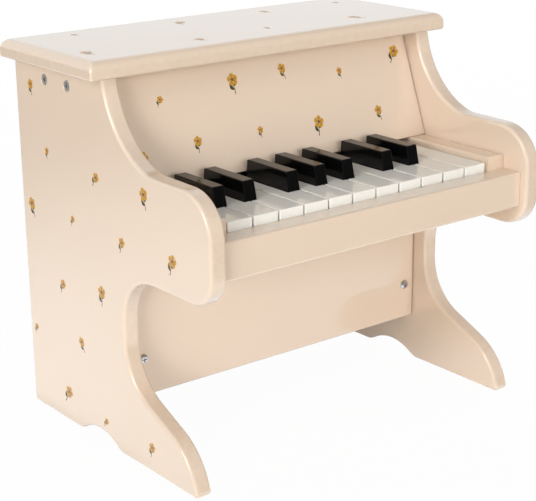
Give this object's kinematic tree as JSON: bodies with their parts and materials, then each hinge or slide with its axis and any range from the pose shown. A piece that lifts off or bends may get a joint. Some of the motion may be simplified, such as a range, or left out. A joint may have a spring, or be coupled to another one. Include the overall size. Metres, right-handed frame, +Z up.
{
  "type": "toy piano",
  "caption": "Small upright toy piano with profiled side panels, a fixed lid and sprung keys that throw hammers up against metal tone bars inside the case.",
  "frame": {"origin": "on the floor under the middle of the bounding box", "axes": "+X along the keyboard to the player's right, the keys face -Y, +Z up"},
  "size_m": [0.379, 0.282, 0.334],
  "materials": {
    "lacquer": "gloss cream lacquer on fibreboard",
    "back_board": "satin cream paint on thin fibreboard",
    "bare_wood": "bare planed pine",
    "white_key": "glossy moulded plastic",
    "black_key": "satin moulded plastic",
    "hammer_plastic": "matte moulded plastic",
    "rod_steel": "drawn steel",
    "screw_zinc": "bright zinc plating",
    "tone_metal": "satin metal",
    "felt": "pressed wool felt"
  },
  "bodies": {
    "case": {"left_side_panel": "lacquer", "right_side_panel": "lacquer", "lid": "lacquer", "upper_front_panel": "lacquer", "lower_front_panel": "lacquer", "key_slip": "lacquer", "left_key_block": "lacquer", "right_key_block": "lacquer", "back_panel": "back_board", "key_bed": "bare_wood", "lid_rail": "bare_wood", "front_tone_rail": "bare_wood", "rear_tone_rail": "bare_wood", "key_rest_rail": "bare_wood", "lower_panel_cleats": "bare_wood", "back_cleats": "bare_wood", "key_pivot_rod": "rod_steel", "hammer_pivot_rod": "rod_steel", "side_screws": "screw_zinc", "panel_screws": "screw_zinc", "tone_bar_pins": "screw_zinc", "tone_bars": "tone_metal", "key_felts": "felt", "tone_rail_felts": "felt"},
    "white_key_01": {"white_key_01": "white_key"},
    "hammer_01": {"hammer_01": "hammer_plastic"},
    "black_key_01": {"black_key_01": "black_key"},
    "hammer_02": {"hammer_02": "hammer_plastic"},
    "white_key_02": {"white_key_02": "white_key"},
    "hammer_03": {"hammer_03": "hammer_plastic"},
    "black_key_02": {"black_key_02": "black_key"},
    "hammer_04": {"hammer_04": "hammer_plastic"},
    "white_key_03": {"white_key_03": "white_key"},
    "hammer_05": {"hammer_05": "hammer_plastic"},
    "white_key_04": {"white_key_04": "white_key"},
    "hammer_06": {"hammer_06": "hammer_plastic"},
    "black_key_03": {"black_key_03": "black_key"},
    "hammer_07": {"hammer_07": "hammer_plastic"},
    "white_key_05": {"white_key_05": "white_key"},
    "hammer_08": {"hammer_08": "hammer_plastic"},
    "black_key_04": {"black_key_04": "black_key"},
    "hammer_09": {"hammer_09": "hammer_plastic"},
    "white_key_06": {"white_key_06": "white_key"},
    "hammer_10": {"hammer_10": "hammer_plastic"},
    "black_key_05": {"black_key_05": "black_key"},
    "hammer_11": {"hammer_11": "hammer_plastic"},
    "white_key_07": {"white_key_07": "white_key"},
    "hammer_12": {"hammer_12": "hammer_plastic"},
    "white_key_08": {"white_key_08": "white_key"},
    "hammer_13": {"hammer_13": "hammer_plastic"},
    "black_key_06": {"black_key_06": "black_key"},
    "hammer_14": {"hammer_14": "hammer_plastic"},
    "white_key_09": {"white_key_09": "white_key"},
    "hammer_15": {"hammer_15": "hammer_plastic"},
    "black_key_07": {"black_key_07": "black_key"},
    "hammer_16": {"hammer_16": "hammer_plastic"},
    "white_key_10": {"white_key_10": "white_key"},
    "hammer_17": {"hammer_17": "hammer_plastic"},
    "white_key_11": {"white_key_11": "white_key"},
    "hammer_18": {"hammer_18": "hammer_plastic"}
  },
  "joints": [
    {"name": "white_key_01_press", "type": "hinge", "parent": "case", "child": "white_key_01", "pos_m": [-0.13229, 0.029, 0.212], "axis": [1, 0, 0], "range_deg": [0, 2.7], "stiffness_Nm_per_rad": 0.25, "springref_deg": -11.46},
    {"name": "hammer_01_swing", "type": "hinge", "parent": "case", "child": "hammer_01", "pos_m": [-0.13229, 0.107, 0.226], "axis": [1, 0, 0], "range_deg": [-10.3, 0]},
    {"name": "black_key_01_press", "type": "hinge", "parent": "case", "child": "black_key_01", "pos_m": [-0.11747, 0.029, 0.212], "axis": [1, 0, 0], "range_deg": [0, 2.7], "stiffness_Nm_per_rad": 0.25, "springref_deg": -11.46},
    {"name": "hammer_02_swing", "type": "hinge", "parent": "case", "child": "hammer_02", "pos_m": [-0.11747, 0.107, 0.226], "axis": [1, 0, 0], "range_deg": [-10.3, 0]},
    {"name": "white_key_02_press", "type": "hinge", "parent": "case", "child": "white_key_02", "pos_m": [-0.10266, 0.029, 0.212], "axis": [1, 0, 0], "range_deg": [0, 2.7], "stiffness_Nm_per_rad": 0.25, "springref_deg": -11.46},
    {"name": "hammer_03_swing", "type": "hinge", "parent": "case", "child": "hammer_03", "pos_m": [-0.10266, 0.107, 0.226], "axis": [1, 0, 0], "range_deg": [-10.3, 0]},
    {"name": "black_key_02_press", "type": "hinge", "parent": "case", "child": "black_key_02", "pos_m": [-0.08784, 0.029, 0.212], "axis": [1, 0, 0], "range_deg": [0, 2.7], "stiffness_Nm_per_rad": 0.25, "springref_deg": -11.46},
    {"name": "hammer_04_swing", "type": "hinge", "parent": "case", "child": "hammer_04", "pos_m": [-0.08784, 0.107, 0.226], "axis": [1, 0, 0], "range_deg": [-10.3, 0]},
    {"name": "white_key_03_press", "type": "hinge", "parent": "case", "child": "white_key_03", "pos_m": [-0.07302, 0.029, 0.212], "axis": [1, 0, 0], "range_deg": [0, 2.7], "stiffness_Nm_per_rad": 0.25, "springref_deg": -11.46},
    {"name": "hammer_05_swing", "type": "hinge", "parent": "case", "child": "hammer_05", "pos_m": [-0.07302, 0.107, 0.226], "axis": [1, 0, 0], "range_deg": [-10.3, 0]},
    {"name": "white_key_04_press", "type": "hinge", "parent": "case", "child": "white_key_04", "pos_m": [-0.05821, 0.029, 0.212], "axis": [1, 0, 0], "range_deg": [0, 2.7], "stiffness_Nm_per_rad": 0.25, "springref_deg": -11.46},
    {"name": "hammer_06_swing", "type": "hinge", "parent": "case", "child": "hammer_06", "pos_m": [-0.05821, 0.107, 0.226], "axis": [1, 0, 0], "range_deg": [-10.3, 0]},
    {"name": "black_key_03_press", "type": "hinge", "parent": "case", "child": "black_key_03", "pos_m": [-0.04339, 0.029, 0.212], "axis": [1, 0, 0], "range_deg": [0, 2.7], "stiffness_Nm_per_rad": 0.25, "springref_deg": -11.46},
    {"name": "hammer_07_swing", "type": "hinge", "parent": "case", "child": "hammer_07", "pos_m": [-0.04339, 0.107, 0.226], "axis": [1, 0, 0], "range_deg": [-10.3, 0]},
    {"name": "white_key_05_press", "type": "hinge", "parent": "case", "child": "white_key_05", "pos_m": [-0.02858, 0.029, 0.212], "axis": [1, 0, 0], "range_deg": [0, 2.7], "stiffness_Nm_per_rad": 0.25, "springref_deg": -11.46},
    {"name": "hammer_08_swing", "type": "hinge", "parent": "case", "child": "hammer_08", "pos_m": [-0.02858, 0.107, 0.226], "axis": [1, 0, 0], "range_deg": [-10.3, 0]},
    {"name": "black_key_04_press", "type": "hinge", "parent": "case", "child": "black_key_04", "pos_m": [-0.01376, 0.029, 0.212], "axis": [1, 0, 0], "range_deg": [0, 2.7], "stiffness_Nm_per_rad": 0.25, "springref_deg": -11.46},
    {"name": "hammer_09_swing", "type": "hinge", "parent": "case", "child": "hammer_09", "pos_m": [-0.01376, 0.107, 0.226], "axis": [1, 0, 0], "range_deg": [-10.3, 0]},
    {"name": "white_key_06_press", "type": "hinge", "parent": "case", "child": "white_key_06", "pos_m": [0.00106, 0.029, 0.212], "axis": [1, 0, 0], "range_deg": [0, 2.7], "stiffness_Nm_per_rad": 0.25, "springref_deg": -11.46},
    {"name": "hammer_10_swing", "type": "hinge", "parent": "case", "child": "hammer_10", "pos_m": [0.00106, 0.107, 0.226], "axis": [1, 0, 0], "range_deg": [-10.3, 0]},
    {"name": "black_key_05_press", "type": "hinge", "parent": "case", "child": "black_key_05", "pos_m": [0.01588, 0.029, 0.212], "axis": [1, 0, 0], "range_deg": [0, 2.7], "stiffness_Nm_per_rad": 0.25, "springref_deg": -11.46},
    {"name": "hammer_11_swing", "type": "hinge", "parent": "case", "child": "hammer_11", "pos_m": [0.01588, 0.107, 0.226], "axis": [1, 0, 0], "range_deg": [-10.3, 0]},
    {"name": "white_key_07_press", "type": "hinge", "parent": "case", "child": "white_key_07", "pos_m": [0.03069, 0.029, 0.212], "axis": [1, 0, 0], "range_deg": [0, 2.7], "stiffness_Nm_per_rad": 0.25, "springref_deg": -11.46},
    {"name": "hammer_12_swing", "type": "hinge", "parent": "case", "child": "hammer_12", "pos_m": [0.03069, 0.107, 0.226], "axis": [1, 0, 0], "range_deg": [-10.3, 0]},
    {"name": "white_key_08_press", "type": "hinge", "parent": "case", "child": "white_key_08", "pos_m": [0.04551, 0.029, 0.212], "axis": [1, 0, 0], "range_deg": [0, 2.7], "stiffness_Nm_per_rad": 0.25, "springref_deg": -11.46},
    {"name": "hammer_13_swing", "type": "hinge", "parent": "case", "child": "hammer_13", "pos_m": [0.04551, 0.107, 0.226], "axis": [1, 0, 0], "range_deg": [-10.3, 0]},
    {"name": "black_key_06_press", "type": "hinge", "parent": "case", "child": "black_key_06", "pos_m": [0.06032, 0.029, 0.212], "axis": [1, 0, 0], "range_deg": [0, 2.7], "stiffness_Nm_per_rad": 0.25, "springref_deg": -11.46},
    {"name": "hammer_14_swing", "type": "hinge", "parent": "case", "child": "hammer_14", "pos_m": [0.06032, 0.107, 0.226], "axis": [1, 0, 0], "range_deg": [-10.3, 0]},
    {"name": "white_key_09_press", "type": "hinge", "parent": "case", "child": "white_key_09", "pos_m": [0.07514, 0.029, 0.212], "axis": [1, 0, 0], "range_deg": [0, 2.7], "stiffness_Nm_per_rad": 0.25, "springref_deg": -11.46},
    {"name": "hammer_15_swing", "type": "hinge", "parent": "case", "child": "hammer_15", "pos_m": [0.07514, 0.107, 0.226], "axis": [1, 0, 0], "range_deg": [-10.3, 0]},
    {"name": "black_key_07_press", "type": "hinge", "parent": "case", "child": "black_key_07", "pos_m": [0.08996, 0.029, 0.212], "axis": [1, 0, 0], "range_deg": [0, 2.7], "stiffness_Nm_per_rad": 0.25, "springref_deg": -11.46},
    {"name": "hammer_16_swing", "type": "hinge", "parent": "case", "child": "hammer_16", "pos_m": [0.08996, 0.107, 0.226], "axis": [1, 0, 0], "range_deg": [-10.3, 0]},
    {"name": "white_key_10_press", "type": "hinge", "parent": "case", "child": "white_key_10", "pos_m": [0.10477, 0.029, 0.212], "axis": [1, 0, 0], "range_deg": [0, 2.7], "stiffness_Nm_per_rad": 0.25, "springref_deg": -11.46},
    {"name": "hammer_17_swing", "type": "hinge", "parent": "case", "child": "hammer_17", "pos_m": [0.10477, 0.107, 0.226], "axis": [1, 0, 0], "range_deg": [-10.3, 0]},
    {"name": "white_key_11_press", "type": "hinge", "parent": "case", "child": "white_key_11", "pos_m": [0.11959, 0.029, 0.212], "axis": [1, 0, 0], "range_deg": [0, 2.7], "stiffness_Nm_per_rad": 0.25, "springref_deg": -11.46},
    {"name": "hammer_18_swing", "type": "hinge", "parent": "case", "child": "hammer_18", "pos_m": [0.11959, 0.107, 0.226], "axis": [1, 0, 0], "range_deg": [-10.3, 0]}
  ],
  "couplings": [
    {"joint": "hammer_01_swing", "follows": "white_key_01_press", "ratio": -3.8},
    {"joint": "hammer_02_swing", "follows": "black_key_01_press", "ratio": -3.8},
    {"joint": "hammer_03_swing", "follows": "white_key_02_press", "ratio": -3.8},
    {"joint": "hammer_04_swing", "follows": "black_key_02_press", "ratio": -3.8},
    {"joint": "hammer_05_swing", "follows": "white_key_03_press", "ratio": -3.8},
    {"joint": "hammer_06_swing", "follows": "white_key_04_press", "ratio": -3.8},
    {"joint": "hammer_07_swing", "follows": "black_key_03_press", "ratio": -3.8},
    {"joint": "hammer_08_swing", "follows": "white_key_05_press", "ratio": -3.8},
    {"joint": "hammer_09_swing", "follows": "black_key_04_press", "ratio": -3.8},
    {"joint": "hammer_10_swing", "follows": "white_key_06_press", "ratio": -3.8},
    {"joint": "hammer_11_swing", "follows": "black_key_05_press", "ratio": -3.8},
    {"joint": "hammer_12_swing", "follows": "white_key_07_press", "ratio": -3.8},
    {"joint": "hammer_13_swing", "follows": "white_key_08_press", "ratio": -3.8},
    {"joint": "hammer_14_swing", "follows": "black_key_06_press", "ratio": -3.8},
    {"joint": "hammer_15_swing", "follows": "white_key_09_press", "ratio": -3.8},
    {"joint": "hammer_16_swing", "follows": "black_key_07_press", "ratio": -3.8},
    {"joint": "hammer_17_swing", "follows": "white_key_10_press", "ratio": -3.8},
    {"joint": "hammer_18_swing", "follows": "white_key_11_press", "ratio": -3.8}
  ]
}
